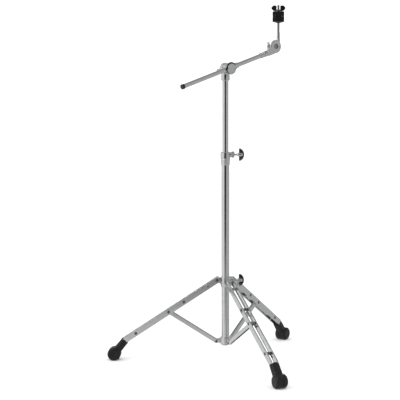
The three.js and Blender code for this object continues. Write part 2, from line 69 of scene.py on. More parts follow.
# Sizes in millimetres, with the CAD model's values. Some pieces are shaped a little differently
# round them: the plate in front of the drum is 1 mm smaller, for one.
GAP = 0.3
TUBE_WALL = 1.4
BOLT = 4.0  # radius of the M8 bolts and the cymbal rod
BOLT_BORE = BOLT + 0.6
RIVET = 3.0
RAIL = {"depth": 21, "width": 5, "wall": 1.8, "spread": 12, "spread_at_foot": 11.5, "straight": 200}
BRACE = {"depth": 15, "width": 11, "wall": 1.6}
FOOT_REACH = 408  # from the column's axis to the middle of a foot
BOOM = {"radius": 7.95, "wall": 1.2, "side": 24, "left": -216, "right": 178}
DRUM = {"radius": 18, "back": -8.3, "groove_back": -32.3, "groove_radius": 15.3}
PLATE = {"radius": 20, "back": -35.3, "front": -38.3}
RING = {"inner": 15.6, "outer": 22.2, "back": -32.6, "front": -35}
HEAD_DISC = {"radius": 24, "front": -36, "back": -30, "hub_radius": 15, "hub_back": -25.3}
HEAD_RING = {"radius": 16, "front": -25, "back": -22.3}
CARRIER = {"radius": 16.5, "front": -22, "back": -14, "hub_radius": 9, "hub_back": 2.4}
HEAD_NUT = {"start": 2.7, "hub": 9, "hub_radius": 7.5, "span": 16.6, "rise": 12}
ROD = {"x": 24.4, "y": -18, "low": 15, "high": 149}
FELT_RADIUS = 21.5

# Sizes in millimetres that only this file has.
THREAD_PITCH = 1.25
RAIL_PAST_BRACE = 198.8  # how far a leg's rails run on past the brace
MIDDLE_RIVET = 68  # how far up the leg from the brace its middle rivet is


# ------------------------------------------------------------------ places


def pivot(joint):
    return Vector(JOINTS[joint]["pos_m"])


def centre(*nodes):
    """The middle of the box that holds all these CAD nodes."""
    boxes = [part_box(node) for node in nodes]
    low = Vector(min(box[0][i] for box in boxes) for i in range(3))
    high = Vector(max(box[1][i] for box in boxes) for i in range(3))
    return (low + high) / 2


def local_frame(origin, along, side):
    """Millimetres to metres, with X along one direction and Y as near as it can be to another."""
    x = Vector(along).normalized()
    y = (Vector(side) - x * x.dot(Vector(side))).normalized()
    turn = Matrix((x, y, x.cross(y))).transposed().to_4x4()
    return Matrix.Translation(origin) @ turn @ Matrix.Scale(MM, 4)


def shift(x=0.0, y=0.0, z=0.0):
    return Matrix.Translation((x, y, z))


# ------------------------------------------------------------------ outlines


def rounded(points, radius, closed=True, steps=4):
    """The outline with each corner turned into an arc of that radius, or as much as fits."""
    result = []
    for i, point in enumerate(points):
        here = Vector(point)
        if not closed and i in (0, len(points) - 1):
            result.append(here)
            continue
        back = Vector(points[i - 1]) - here
        ahead = Vector(points[(i + 1) % len(points)]) - here
        half_angle = back.angle(ahead) / 2
        if half_angle > math.radians(88):
            result.append(here)
            continue
        reach = min(radius / math.tan(half_angle), 0.48 * back.length, 0.48 * ahead.length)
        start = here + back.normalized() * reach
        end = here + ahead.normalized() * reach
        for step in range(steps + 1):
            t = step / steps
            result.append(start * (1 - t) ** 2 + here * 2 * t * (1 - t) + end * t * t)
    return result


def arc(x, y, radius, start, end, steps=16):
    """Points on a circle from one angle to another, in degrees."""
    angles = [math.radians(start + (end - start) * i / steps) for i in range(steps + 1)]
    return [Vector((x + radius * math.cos(a), y + radius * math.sin(a))) for a in angles]


def round_ended(start, end, radius):
    """A bar's outline along X with round ends about both points."""
    return arc(start, 0, radius, 90, 270) + arc(end, 0, radius, -90, 90)


def rectangle(x0, x1, y0, y1):
    return [Vector(p) for p in ((x0, y0), (x1, y0), (x1, y1), (x0, y1))]


def inset(outline, distance):
    """The closed outline moved inwards. It runs counter-clockwise."""
    moved = []
    for i, here in enumerate(outline):
        before = (here - outline[i - 1]).normalized()
        after = (outline[(i + 1) % len(outline)] - here).normalized()
        inward = Vector((-before.y - after.y, before.x + after.x))
        share = max(inward.length / 2, 0.3)
        moved.append(here + inward.normalized() * distance / share)
    return moved


# ------------------------------------------------------------------ solids


def mesh_from(rings, loop=False):
    """A closed mesh through rings of points. A ring of one point is a pole."""
    bm = bmesh.new()
    made = [[bm.verts.new(point) for point in ring] for ring in rings]
    pairs = list(zip(made, made[1:]))
    if loop:
        pairs.append((made[-1], made[0]))
    for low, high in pairs:
        count = max(len(low), len(high))
        for i in range(count):
            j = (i + 1) % count
            corners = [low[i], low[j]] if len(low) > 1 else [low[0]]
            corners += [high[j], high[i]] if len(high) > 1 else [high[0]]
            bm.faces.new(corners)
    if not loop:
        for ring in (made[0], made[-1]):
            if len(ring) > 1:
                bm.faces.new(ring)
    bmesh.ops.recalc_face_normals(bm, faces=bm.faces)
    mesh = bpy.data.meshes.new("solid")
    bm.to_mesh(mesh)
    bm.free()
    return mesh


def lathe(profile, fillet=0.0, segments=64, shape=None):
    """A body turned about Z from (radius, height) points, low to high. A profile that doesn't
    start on the axis closes on itself. shape(angle, radius, height) may vary the radius."""
    loop = profile[0][0] > 0
    points = rounded(profile, fillet, closed=loop) if fillet else [Vector(p) for p in profile]
    rings = []
    for radius, height in points:
        if radius < 1e-6:
            rings.append([(0, 0, height)])
            continue
        ring = []
        for i in range(segments):
            angle = 2 * math.pi * i / segments
            reach = shape(angle, radius, height) if shape else radius
            ring.append((reach * math.cos(angle), reach * math.sin(angle), height))
        rings.append(ring)
    return mesh_from(rings, loop)


def tube(inner, outer, low, high, fillet=0.4, segments=64, shape=None):
    profile = [(inner, low), (outer, low), (outer, high), (inner, high)]
    return lathe(profile, fillet, segments, shape)


def rod(radius, low, high, fillet=0.0, segments=48):
    return lathe([(0, low), (radius, low), (radius, high), (0, high)], fillet, segments)


def slab(outline, low, high, edge=0.8, steps=3):
    """A flat outline with thickness from low to high, and round edges."""
    rings = []
    for sign, face in ((-1, low), (1, high)):
        turns = range(steps + 1) if sign < 0 else range(steps, -1, -1)
        for step in turns:
            angle = math.pi / 2 * step / steps
            flat = inset(outline, edge * (1 - math.sin(angle)))
            height = face - sign * edge * (1 - math.cos(angle))
            rings.append([(p.x, p.y, height) for p in flat])
    return mesh_from(rings)


def beam(section, stations):
    """A bar along X: the (y, z) section at each (x, y shift) station."""
    return mesh_from([[(x, p.x + side, p.y) for p in section] for x, side in stations])


def moved(mesh, *matrices):
    for matrix in matrices:
        mesh.transform(matrix)
    return mesh


def boolean(operation, first, others):
    """Joins or cuts closed meshes."""
    scene = bpy.context.scene
    body = bpy.data.objects.new("body", first)
    scene.collection.objects.link(body)
    tools = []
    for other in others:
        tool = bpy.data.objects.new("tool", other)
        scene.collection.objects.link(tool)
        tools.append(tool)
        modifier = body.modifiers.new("boolean", "BOOLEAN")
        modifier.operation = operation
        modifier.solver = "EXACT"
        modifier.object = tool
    bpy.context.view_layer.update()
    shown = body.evaluated_get(bpy.context.evaluated_depsgraph_get())
    result = bpy.data.meshes.new_from_object(shown)
    for piece in [body, *tools]:
        bpy.data.objects.remove(piece)
    return result


def join(first, *others):
    return boolean("UNION", first, others)


def cut(first, *tools):
    return boolean("DIFFERENCE", first, tools)


def common(first, second):
    return boolean("INTERSECT", first, [second])


def thread(low, high):
    """A threaded rod with a chamfer at each end."""
    depth, chamfer_length = 0.55, 1.2
    rows = int((high - low) / THREAD_PITCH * 6)
    heights = [low + (high - low) * i / rows for i in range(rows + 1)]
    profile = [(0, low), *((BOLT, height) for height in heights), (0, high)]

    def groove(angle, reach, height):
        turn = (height / THREAD_PITCH - angle / (2 * math.pi)) % 1
        chamfer = max(0.0, chamfer_length - min(height - low, high - height))
        return reach - max(depth * abs(2 * turn - 1), chamfer)

    return lathe(profile, segments=32, shape=groove)


def dome(radius, height, base):
    """A low dome's profile, from its rim at the base up to its top."""
    angles = [i * math.pi / 16 for i in range(8)]
    rising = [(radius * math.cos(a), base + height * math.sin(a)) for a in angles]
    return [*rising, (0, base + height)]


def headed_pin(shank, head, half, height, waist=None):
    """A pin along Y with a domed head at each end. waist is a collar between its ends."""
    top = dome(head, height, half)
    profile = [(radius, -rise) for radius, rise in reversed(top)]
    profile.append((shank, -half))
    if waist:
        radius, reach = waist
        profile += [(shank, -reach), (radius, -reach), (radius, reach), (shank, reach)]
    profile += [(shank, half), *top]
    return moved(lathe(profile, segments=40), ALONG_Y)


def hexagon(radius):
    return arc(0, 0, radius, 0, 300, 5)


# ------------------------------------------------------------------ materials


def links_of(material):
    material.use_nodes = True
    tree = material.node_tree
    return tree.nodes, tree.links, tree.nodes["Principled BSDF"]


def pattern(nodes, links, scale, detail=4.0):
    """A noise in the piece's own coordinates, in metres."""
    place = nodes.new("ShaderNodeTexCoord")
    texture = nodes.new("ShaderNodeTexNoise")
    texture.inputs["Scale"].default_value = scale
    texture.inputs["Detail"].default_value = detail
    links.new(place.outputs["Object"], texture.inputs["Vector"])
    return texture.outputs["Fac"]


def spread(nodes, links, value, low, high):
    """The middle of a noise's values stretched to a range."""
    remap = nodes.new("ShaderNodeMapRange")
    for name, number in (("From Min", 0.3), ("From Max", 0.7), ("To Min", low), ("To Max", high)):
        remap.inputs[name].default_value = number
    links.new(value, remap.inputs["Value"])
    return remap.outputs["Result"]


def tint(nodes, links, value, dark, light):
    """A colour between two, by a value from 0 to 1."""
    ramp = nodes.new("ShaderNodeValToRGB")
    ramp.color_ramp.elements[0].color = (*dark, 1)
    ramp.color_ramp.elements[1].color = (*light, 1)
    links.new(value, ramp.inputs["Fac"])
    return ramp.outputs["Color"]


def relief(nodes, links, shader, layers):
    """Bumps in layers of (height value, strength, depth in metres)."""
    normal = None
    for value, strength, depth in layers:
        bump = nodes.new("ShaderNodeBump")
        bump.inputs["Strength"].default_value = strength
        bump.inputs["Distance"].default_value = depth
        links.new(value, bump.inputs["Height"])
        if normal:
            links.new(normal, bump.inputs["Normal"])
        normal = bump.outputs["Normal"]
    links.new(normal, shader.inputs["Normal"])


def finish(name, metallic, dark, light, rough, mottle, wear, grain, **uniform):
    """A material whose colour and roughness vary with noise, with bumps from finer noise.
    mottle and wear are the noise scales of the colour and the roughness. grain lists the bumps
    as (noise scale, strength, depth in metres)."""
    material = bpy.data.materials.new(name)
    nodes, links, shader = links_of(material)
    shader.inputs["Metallic"].default_value = metallic
    for socket, value in uniform.items():
        shader.inputs[socket.replace("_", " ")].default_value = value
    shade = spread(nodes, links, pattern(nodes, links, mottle), 0, 1)
    links.new(tint(nodes, links, shade, dark, light), shader.inputs["Base Color"])
    worn = pattern(nodes, links, wear, 6)
    links.new(spread(nodes, links, worn, *rough), shader.inputs["Roughness"])
    layers = []
    for scale, strength, depth in grain:
        layers.append((pattern(nodes, links, scale, 3), strength, depth))
    relief(nodes, links, shader, layers)
    return material


def polished_chrome():
    """Plated tube: a clear mirror with faint hazing and polishing marks."""
    return finish(
        "polished_chrome", metallic=1.0, dark=(0.79, 0.80, 0.81), light=(0.86, 0.865, 0.87),
        rough=(0.05, 0.12), mottle=45, wear=160,
        grain=[(1400, 0.03, 0.0001), (60, 0.02, 0.0002)],
    )


def cast_chrome():
    """Plated die casting: the same metal with a softer, slightly uneven skin."""
    return finish(
        "cast_chrome", metallic=1.0, dark=(0.74, 0.75, 0.76), light=(0.84, 0.845, 0.85),
        rough=(0.10, 0.20), mottle=80, wear=220,
        grain=[(900, 0.05, 0.0002), (180, 0.05, 0.0004)],
    )


def thread_steel():
    """Bolts and the cymbal rod: plain steel with a dull finish."""
    return finish(
        "thread_steel", metallic=1.0, dark=(0.40, 0.41, 0.42), light=(0.56, 0.57, 0.58),
        rough=(0.18, 0.34), mottle=120, wear=400, grain=[(1200, 0.08, 0.0002)],
    )


def shade_darkened_steel():
    """Rivets and pins: steel with a darker base colour than the plated parts round them. The
    darkness is painted shade, standing in for the contact shadow round their heads.
    """
    return finish(
        "shade_darkened_steel", metallic=1.0, dark=(0.16, 0.165, 0.17), light=(0.34, 0.345, 0.35),
        rough=(0.10, 0.22), mottle=200, wear=500, grain=[(900, 0.06, 0.0002)],
    )


def black_rubber():
    """Moulded rubber: satin, with a fine grain and a trace of grey bloom."""
    return finish(
        "black_rubber", metallic=0.0, dark=(0.004, 0.004, 0.0045), light=(0.011, 0.011, 0.0115),
        rough=(0.34, 0.5), mottle=70, wear=300,
        grain=[(1600, 0.25, 0.0003), (260, 0.12, 0.0006)], Specular_IOR_Level=0.45,
    )


def black_nylon():
    """Moulded nylon: glossier than rubber, with a fine spark-eroded texture."""
    return finish(
        "black_nylon", metallic=0.0, dark=(0.002, 0.002, 0.0022), light=(0.006, 0.006, 0.0064),
        rough=(0.18, 0.30), mottle=90, wear=500, grain=[(2400, 0.2, 0.0002)],
        Specular_IOR_Level=0.75,
    )


def black_felt():
    """Pressed wool felt: matt fibres with a soft sheen."""
    return finish(
        "black_felt", metallic=0.0, dark=(0.002, 0.002, 0.0022), light=(0.010, 0.0097, 0.0097),
        rough=(0.88, 1.0), mottle=900, wear=700,
        grain=[(3200, 0.8, 0.0006), (700, 0.6, 0.0010)],
        Sheen_Weight=0.03, Sheen_Roughness=0.5, Specular_IOR_Level=0.15,
    )


FINISHES = {
    "tube": (polished_chrome(), "chrome"),
    "casting": (cast_chrome(), "chrome"),
    "thread": (thread_steel(), "chrome"),
    # the rivets' darker base colour is painted shade, standing in for the contact shadow round
    # their heads
    "rivet": (shade_darkened_steel(), "chrome"),
    "rubber": (black_rubber(), "black_rubber"),
    "nylon": (black_nylon(), "black_plastic"),
    "felt": (black_felt(), "black_felt"),
}


# ------------------------------------------------------------------ placing pieces


def add_piece(name, mesh, place, look, body):
    """Puts a mesh into the scene as a smooth-shaded piece that rides on a body."""
    mesh.transform(place)
    mesh.materials.clear()
    material, slot = FINISHES[look]
    mesh.materials.append(material)
    mesh.shade_smooth()
    mesh.set_sharp_from_angle(angle=math.radians(38))
    piece = bpy.data.objects.new(name, mesh)
    bpy.context.scene.collection.objects.link(piece)
    weighted = piece.modifiers.new("weighted_normals", "WEIGHTED_NORMAL")
    weighted.keep_sharp = True
    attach(piece, body)
    return piece


def stand_for(node, mesh, place, look):
    """A piece that takes the place of one CAD node and rides on that node's body."""
    piece = add_piece(f"{node}_visual", mesh, place, look, BODY_OF[node])
    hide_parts(node)
    return piece


# ------------------------------------------------------------------ column


def column_frame():
    low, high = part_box("base_tube")
    return local_frame(((low.x + high.x) / 2, (low.y + high.y) / 2, 0), (1, 0, 0), (0, 1, 0))


def span_of(node):
    """A node's radius and its lowest and highest z, in millimetres."""
    low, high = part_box(node)
    return (high.y - low.y) / 2 / MM, low.z / MM, high.z / MM


def leg_azimuths():
    """The direction of each leg from the column, in radians."""
    axis = centre("base_tube")
    azimuths = {}
    for leg in LEG_NAMES:
        out = pivot(f"{leg}_fold") - axis
        azimuths[leg] = math.atan2(out.y, out.x)
    return azimuths


def lower_bracket(azimuths):
    """A ring round the tube's foot with an ear for each brace."""
    radius, low, _ = span_of("base_tube")
    outer = 19
    ring = tube(radius + GAP, outer, low, low + 27, 1.6)
    reach, height, ear_radius = 33, low + 13, 6.5
    outline = [Vector((outer - 3, height - 10)), *arc(reach, height, ear_radius, -90, 90)]
    outline.append(Vector((outer - 3, height + 11)))
    ears, holes = [], []
    for azimuth in azimuths.values():
        turn = Matrix.Rotation(azimuth, 4, "Z")
        ears.append(moved(slab(outline, -3.5, 3.5, 0.9), UPRIGHT, turn))
        hole = rod(RIVET + GAP, -7, 7)
        holes.append(moved(hole, ALONG_Y, shift(reach, 0, height), turn))
    return cut(join(ring, *ears), *holes)


def tripod_collar(azimuths):
    """The sliding collar: a slightly bulging ring with three lugs for the legs and a boss for
    the wing bolt."""
    radius, _, _ = span_of("base_tube")
    low, high = (box.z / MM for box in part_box("tripod_collar"))
    bore = radius + GAP
    ring = lathe([
        (bore, low), (17.2, low), (18.5, (low + high) / 2), (17.2, high), (bore, high),
    ], 1.8)
    reach, height, lug = 30, pivot("left_leg_fold").z / MM, 9
    outline = [Vector((bore + 1, height - lug - 4)), *arc(reach, height, lug, -90, 90)]
    outline.append(Vector((bore + 1, height + lug)))
    bolt_height = bolt_heights()["collar_bolt_turn"]
    lugs, holes = [], []
    for azimuth in azimuths.values():
        turn = Matrix.Rotation(azimuth, 4, "Z")
        lugs.append(moved(slab(outline, -9.1, 9.1, 1.4), UPRIGHT, turn))
        hole = rod(BOLT + GAP, -12, 12)
        holes.append(moved(hole, ALONG_Y, shift(reach, 0, height), turn))
    boss_profile = [(0, bore + 1), (8, bore + 1), (7.5, 36), (0, 36)]
    boss = moved(lathe(boss_profile, 1.2), ALONG_X, shift(z=bolt_height))
    bolt_bore = moved(rod(BOLT + GAP, bore - 2, 40), ALONG_X, shift(z=bolt_height))
    return cut(join(ring, *lugs, boss), bolt_bore, *holes)


def bolt_heights():
    """Height of each clamp bolt's axis on the column, in millimetres."""
    return {name: pivot(name).z / MM for name in ("collar_bolt_turn", "height_bolt_turn")}


def wing_bolt():
    """A bolt along X with a D-shaped wing on a waisted hub."""
    flat_side, half_height, reach = 48, 23.5, 20
    outline = [
        Vector((flat_side + reach * math.cos(a), half_height * math.sin(a)))
        for a in (math.radians(-78 + 156 * i / 28) for i in range(29))
    ]
    outline = [Vector((flat_side, 1.5 - half_height)), *outline]
    outline.append(Vector((flat_side, half_height - 1.5)))
    wing = moved(slab(rounded(outline, 2.5), -3, 3, 1.8, 4), UPRIGHT)
    hub_profile = [(0, 42.6), (5.2, 43), (6.6, 46), (6.6, 58), (4.2, 62.5), (0, 63)]
    hub = moved(lathe(hub_profile, 1.5), ALONG_X)
    radius, _, _ = span_of("base_tube")
    shank = moved(thread(radius + 0.8, 44), ALONG_X)
    return join(wing, hub, shank)


def height_clamp():
    """The casting on top of the base tube: a skirt, a waist line, a band and the bolt's boss."""
    radius, _, _ = span_of("base_tube")
    upper, _, _ = span_of("upper_tube")
    low, high = (corner.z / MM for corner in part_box("height_clamp"))
    ring = low + 23
    bush_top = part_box("height_bush")[1].z / MM + 0.5
    bore = radius + GAP
    shell = lathe([
        (bore, low), (bore + 1.2, low), (16.9, ring - 1), (16.2, ring + 0.4), (17.8, ring + 1.6),
        (17.8, high - 1.5), (15.6, high), (upper + 0.4, high), (upper + 0.4, bush_top),
        (bore, bush_top),
    ], 0.7)
    at_bolt = shift(z=bolt_heights()["height_bolt_turn"])
    boss_profile = [(0, bore + 0.4), (9, bore + 0.4), (9, 21.6), (0, 21.6)]
    boss = moved(lathe(boss_profile, 0.8), ALONG_X, at_bolt)
    bolt_bore = moved(rod(BOLT + GAP, 8, 30), ALONG_X, at_bolt)
    return cut(join(shell, boss), bolt_bore)


def height_bush():
    """The guide sleeve. Its flange shows between the tube and the clamp."""
    radius, _, tube_top = span_of("base_tube")
    inner = span_of("upper_tube")[0] + GAP
    _, low, high = span_of("height_bush")
    outer = radius - TUBE_WALL - GAP
    flange = tube_top + GAP
    return lathe([
        (inner, low), (outer, low), (outer, flange), (radius, flange), (radius, high),
        (inner, high),
    ], 0.4)


def lock_nut():
    """The knurled nut on the height bolt."""
    bore, outer, knurls = BOLT + GAP, 11.5, 22

    def knurl(angle, radius, height):
        return radius - (0.45 * (1 + math.cos(knurls * angle)) if radius > outer - 0.5 else 0)

    profile = [(bore, 21.9), (outer, 21.9), (outer, 30), (9.5, 32.4), (bore, 32.4)]
    return moved(lathe(profile, 0.7, knurls * 8, knurl), ALONG_X)


def build_column():
    place = column_frame()
    azimuths = leg_azimuths()
    radius, low, high = span_of("base_tube")
    stand_for("base_tube", tube(radius - TUBE_WALL, radius, low, high, 0.5, 96), place, "tube")
    upper, upper_low, upper_high = span_of("upper_tube")
    sleeve = tube(upper - TUBE_WALL, upper, upper_low, upper_high, 0.5, 96)
    stand_for("upper_tube", sleeve, place, "tube")
    _, plug_low, plug_high = span_of("base_tube_plug")
    inside = radius - TUBE_WALL - GAP
    plug = lathe([
        (0, plug_low + 0.4), (radius - 3, plug_low), (radius, plug_low + 0.8), (radius, low - GAP),
        (inside, low - GAP), (inside, plug_high), (0, plug_high),
    ], 0.5)
    stand_for("base_tube_plug", plug, place, "nylon")
    stand_for("lower_bracket", lower_bracket(azimuths), place, "casting")
    stand_for("tripod_collar", tripod_collar(azimuths), place, "casting")
    stand_for("height_clamp", height_clamp(), place, "casting")
    stand_for("height_bush", height_bush(), place, "nylon")
    heights = bolt_heights()
    at_clamp = place @ shift(z=heights["height_bolt_turn"])
    stand_for("height_lock_nut", lock_nut(), at_clamp, "casting")
    stand_for("height_wing_bolt", wing_bolt(), at_clamp, "casting")
    facing_up = Matrix.Rotation(math.radians(-6), 4, "X")
    at_collar = place @ shift(z=heights["collar_bolt_turn"]) @ facing_up
    stand_for("collar_wing_bolt", wing_bolt(), at_collar, "casting")


# ------------------------------------------------------------------ legs


def rail_spread(along, length):
    """Half the distance between a leg's rails at a place along it."""
    share = min(max((along - RAIL["straight"]) / (length - RAIL["straight"]), 0), 1)
    return RAIL["spread"] + (RAIL["spread_at_foot"] - RAIL["spread"]) * share


def channel(depth, width, wall, side):
    """A channel's section, open towards +side in y."""
    half = depth / 2
    outline = [
        (-width / 2, -half), (width / 2, -half), (width / 2, wall - half),
        (wall - width / 2, wall - half), (wall - width / 2, half - wall),
        (width / 2, half - wall), (width / 2, half), (-width / 2, half),
    ]
    section = rounded(outline, 0.9, steps=3)
    return [Vector((side * p.x, p.y)) for p in section]


def leg_rail(side, length, holes):
    """A channel bar with a round upper end, open towards the leg's middle."""
    half = RAIL["depth"] / 2
    section = channel(RAIL["depth"], RAIL["width"], RAIL["wall"], -side)
    places = [-half, RAIL["straight"], length]
    bar = beam(section, [(x, side * rail_spread(x, length)) for x in places])
    ends = moved(slab(round_ended(0, length - half, half), -25, 25, 0.1, 1), UPRIGHT)
    bores = [moved(rod(radius + GAP, -20, 20), ALONG_Y, shift(x)) for x, radius in holes]
    return cut(common(bar, ends), *bores)


def spacer(along, length):
    """A rivet through both rails with a thick sleeve that keeps them apart."""
    outside = rail_spread(along, length) + RAIL["width"] / 2 + GAP
    inside = outside - RAIL["wall"] - 2 * GAP
    return moved(headed_pin(RIVET, 5.6, outside, 2, (5.5, inside)), shift(along))


def brace_stud(side, along, length):
    """The rivet on one rail that carries the brace from that side."""
    outside = rail_spread(along, length) + RAIL["width"] / 2 + GAP
    inside = outside - RAIL["wall"] - 2 * GAP
    tip = BRACE["width"] / 2 + 2 * GAP
    profile = [(0, tip), (6, tip), (6, inside), (RIVET, inside), (RIVET, outside)]
    body = lathe([*profile, *dome(5.6, 2, outside)], segments=40)
    facing = Matrix.Rotation(0 if side > 0 else math.pi, 4, "Z")
    return moved(body, ALONG_Y, facing, shift(along))


def brace_bar(length):
    """A channel bar open below, round at both ends and forked at its lower one."""
    depth, width, wall = BRACE["depth"], BRACE["width"], BRACE["wall"]
    half, inside = depth / 2, width / 2 - wall
    outline = [
        (-width / 2, -half), (wall - width / 2, -half), (-inside, half - wall),
        (inside, half - wall), (inside, -half), (width / 2, -half), (width / 2, half),
        (-width / 2, half),
    ]
    bar = beam(rounded(outline, 1.2, steps=3), [(-half, 0), (length + half, 0)])
    ends = moved(slab(round_ended(0, length, half), -20, 20, 0.1, 1), UPRIGHT)
    fork = moved(slab(rectangle(-half - 5, 14, -inside, inside), 0, half + 5, 0.1, 1))
    lower = moved(rod(RIVET + GAP, -10, 10), ALONG_Y)
    upper = moved(rod(BOLT + GAP, -10, 10), ALONG_Y, shift(length))
    return cut(common(bar, ends), fork, lower, upper)


def squircle(angle, radius, height):
    """A section between a circle and a square, for the foot's neck."""
    return radius * (1 - 0.05 * math.cos(4 * angle))


def foot_barrel(radius, at_barrel):
    """The grooved barrel across the leg."""
    half, groove_depth = 22.5, 1.6
    groove = [(radius, -17.5), (radius, -2.2), (radius - groove_depth, -1.2)]
    groove += [(r, -height) for r, height in reversed(groove)]
    profile = [(0, -half), (16, -half), (20.5, 1.2 - half), *groove]
    profile += [(20.5, half - 1.2), (16, half), (0, half)]
    return moved(lathe(profile, 2.2, 72), ALONG_Y, at_barrel)


def foot(slope, length, pivot_in_plane):
    """A rubber foot: a grooved barrel, and a neck that holds both rails.
    It is built in the leg's upright plane, with x from the column axis and z from the floor."""
    radius, grip = 24, 60
    at_barrel = shift(FOOT_REACH, 0, radius - 0.8)
    lean = math.radians(39)
    neck_profile = [(0, 0), (15.5, 0), (15.3, 30), (14.6, 64), (13.4, 67), (0, 67)]
    neck = lathe(neck_profile, 2.5, 64, squircle)
    moved(neck, Matrix.Diagonal((1, 1.18, 1, 1)), Matrix.Rotation(-lean, 4, "Y"), at_barrel)
    tools = [slab(rectangle(FOOT_REACH - 60, FOOT_REACH + 60, -40, 40), -20, 0, 0.01, 1)]
    to_plane = shift(*pivot_in_plane) @ Matrix.Rotation(slope, 4, "Y")
    for side in (-1, 1):
        middle = side * rail_spread(length - 10, length)
        reach = RAIL["width"] / 2 + 0.6
        depth = RAIL["depth"] / 2 + GAP
        socket = rectangle(length - grip, length + 1, middle - reach, middle + reach)
        tools.append(moved(slab(socket, -depth, depth, 0.1, 1), to_plane))
    window = rounded(rectangle(length - grip, length - 16, -3, 3), 2)
    tools.append(moved(slab(window, -30, 30, 0.1, 1), to_plane))
    return cut(join(foot_barrel(radius, at_barrel), neck), *tools)


def build_rails(leg, sloping, along_leg, brace_at, length):
    """Both rails of a leg and every rivet through them."""
    spacer_at = along_leg(f"{leg}_spacer")
    end_at = along_leg(f"{leg}_end_rivet")
    middle_at = brace_at - MIDDLE_RIVET
    holes = [(0, BOLT), *((place, RIVET) for place in (spacer_at, middle_at, brace_at, end_at))]
    for name, which in (("a", 1), ("b", -1)):
        stand_for(f"{leg}_rail_{name}", leg_rail(which, length, holes), sloping, "tube")
        stud = brace_stud(which, brace_at, length)
        stand_for(f"{leg}_brace_stud_{name}", stud, sloping, "rivet")
    reach = RAIL["spread"] + RAIL["width"] / 2 + GAP
    stand_for(f"{leg}_pivot_pin", headed_pin(BOLT, 6.5, reach, 2.2), sloping, "rivet")
    stand_for(f"{leg}_spacer", spacer(spacer_at, length), sloping, "thread")
    stand_for(f"{leg}_end_rivet", spacer(end_at, length), sloping, "rivet")
    add_piece(f"{leg}_middle_rivet", spacer(middle_at, length), sloping, "rivet", leg)


def build_brace(leg, studs, side):
    """The strut from the bracket to the leg's studs, and its rivet in the bracket."""
    joint = pivot(f"{leg.replace('_leg', '')}_brace_fold")
    rise = centre(*studs) - joint
    rising = local_frame(joint, rise, side)
    stand_for(f"{leg}_brace", brace_bar(rise.length / MM), rising, "tube")
    pin = headed_pin(RIVET, 4.8, BRACE["width"] / 2 + GAP, 1.6)
    stand_for(f"{leg}_bracket_pin", pin, rising, "rivet")


def build_leg(leg, azimuth):
    axis = centre("base_tube")
    out = Vector((math.cos(azimuth), math.sin(azimuth), 0))
    side = UP.cross(out)
    top = pivot(f"{leg}_fold")
    down = (centre(f"{leg}_end_rivet") - top).normalized()

    def along_leg(*nodes):
        return (centre(*nodes) - top).dot(down) / MM

    studs = [f"{leg}_brace_stud_a", f"{leg}_brace_stud_b"]
    brace_at = along_leg(*studs)
    length = brace_at + RAIL_PAST_BRACE
    build_rails(leg, local_frame(top, down, side), along_leg, brace_at, length)
    build_brace(leg, studs, side)
    plane = local_frame((axis.x, axis.y, 0), out, side)
    in_plane = ((top - axis).dot(out) / MM, 0, top.z / MM)
    rubber = foot(math.asin(-down.z), length, in_plane)
    stand_for(f"{leg}_foot", rubber, plane, "rubber")


# ------------------------------------------------------------------ boom tilter


def boom_bore():
    return moved(rod(BOOM["radius"] + GAP, -42, 42), ALONG_X, shift(y=-BOOM["side"]))


def tilter_base(tube_top):
    """The lower casting: a skirted socket that flows into the cheek of the tilter."""
    radius = span_of("upper_tube")[0]
    socket = lathe([
        (0, -44), (13.7, -44), (15.7, -42), (15.7, -31), (15.2, -25), (14.5, -17), (14, -8),
        (14, 0), (0, 0),
    ], 1.5)
    half, rim = 8, 19
    cheek_profile = [(0, -half), (rim - 1.5, -half), (rim, 1.5 - half)]
    cheek_profile += [(radius, -height) for radius, height in reversed(cheek_profile)]
    cheek = moved(lathe(cheek_profile, 0.8), ALONG_Y)
    drum_side = slab(rectangle(-30, 30, -30, -half), -22.5, 10, 0.01, 1)
    nut_side = slab(rectangle(-30, 30, half, 30), -22.5, 10, 0.01, 1)
    tube_bore = rod(radius + GAP, -50, tube_top + GAP)
    bolt_bore = moved(rod(BOLT_BORE, -20, 20), ALONG_Y)
    return cut(join(socket, cheek), drum_side, nut_side, tube_bore, bolt_bore)


def toothed_ring(inner, outer, low, high, teeth):
    """A nylon friction ring along Y with a ribbed rim."""

    def ribs(angle, radius, height):
        return radius - (0.25 * (1 + math.cos(teeth * angle)) if radius > outer - 0.6 else 0)

    return moved(tube(inner, outer, low, high, 0.5, teeth * 6, ribs), ALONG_Y)


def front_plate():
    """The rimmed plate in front of the drum. It sits low, so the ring shows most above it."""
    front, back, rim = PLATE["front"], PLATE["back"], PLATE["radius"] - 1
    profile = [
        (0, front + 0.9), (rim - 6.5, front + 0.9), (rim - 5.5, front), (rim - 1.6, front),
        (rim, front + 1.4), (rim, back), (0, back),
    ]
    return moved(lathe(profile, 0.5), ALONG_Y, shift(-0.6, 0, -1.8))


def tilter_drum():
    """The drum that clamps the boom, with the plate in front and a nose towards the head."""
    core, outer, groove_back = DRUM["groove_radius"], DRUM["radius"], DRUM["groove_back"]
    front, back = PLATE["back"], DRUM["back"]
    drum = moved(lathe([
        (0, front - 1), (core, front - 1), (core, groove_back), (outer, groove_back),
        (outer, back - 0.8), (outer - 0.8, back), (0, back),
    ], 0.5), ALONG_Y)
    nose_profile = [(0, 6), (13.4, 13), (13, 17), (9.9, 37), (9.2, 38), (0, 38)]
    nose = moved(lathe(nose_profile, 1.0), ALONG_X, shift(y=-BOOM["side"]))
    cheek_side = slab(rectangle(-45, 45, back, 10), -40, 40, 0.01, 1)
    room = RING["outer"] + GAP
    ring_groove = moved(
        lathe([(core, front), (room, front), (room, groove_back), (core, groove_back)]), ALONG_Y,
    )
    pocket = moved(rod(12.4, PLATE["front"] + 2.2, back + 2), ALONG_Y)
    body = join(drum, front_plate(), cut(nose, cheek_side, ring_groove))
    return cut(body, pocket, boom_bore())


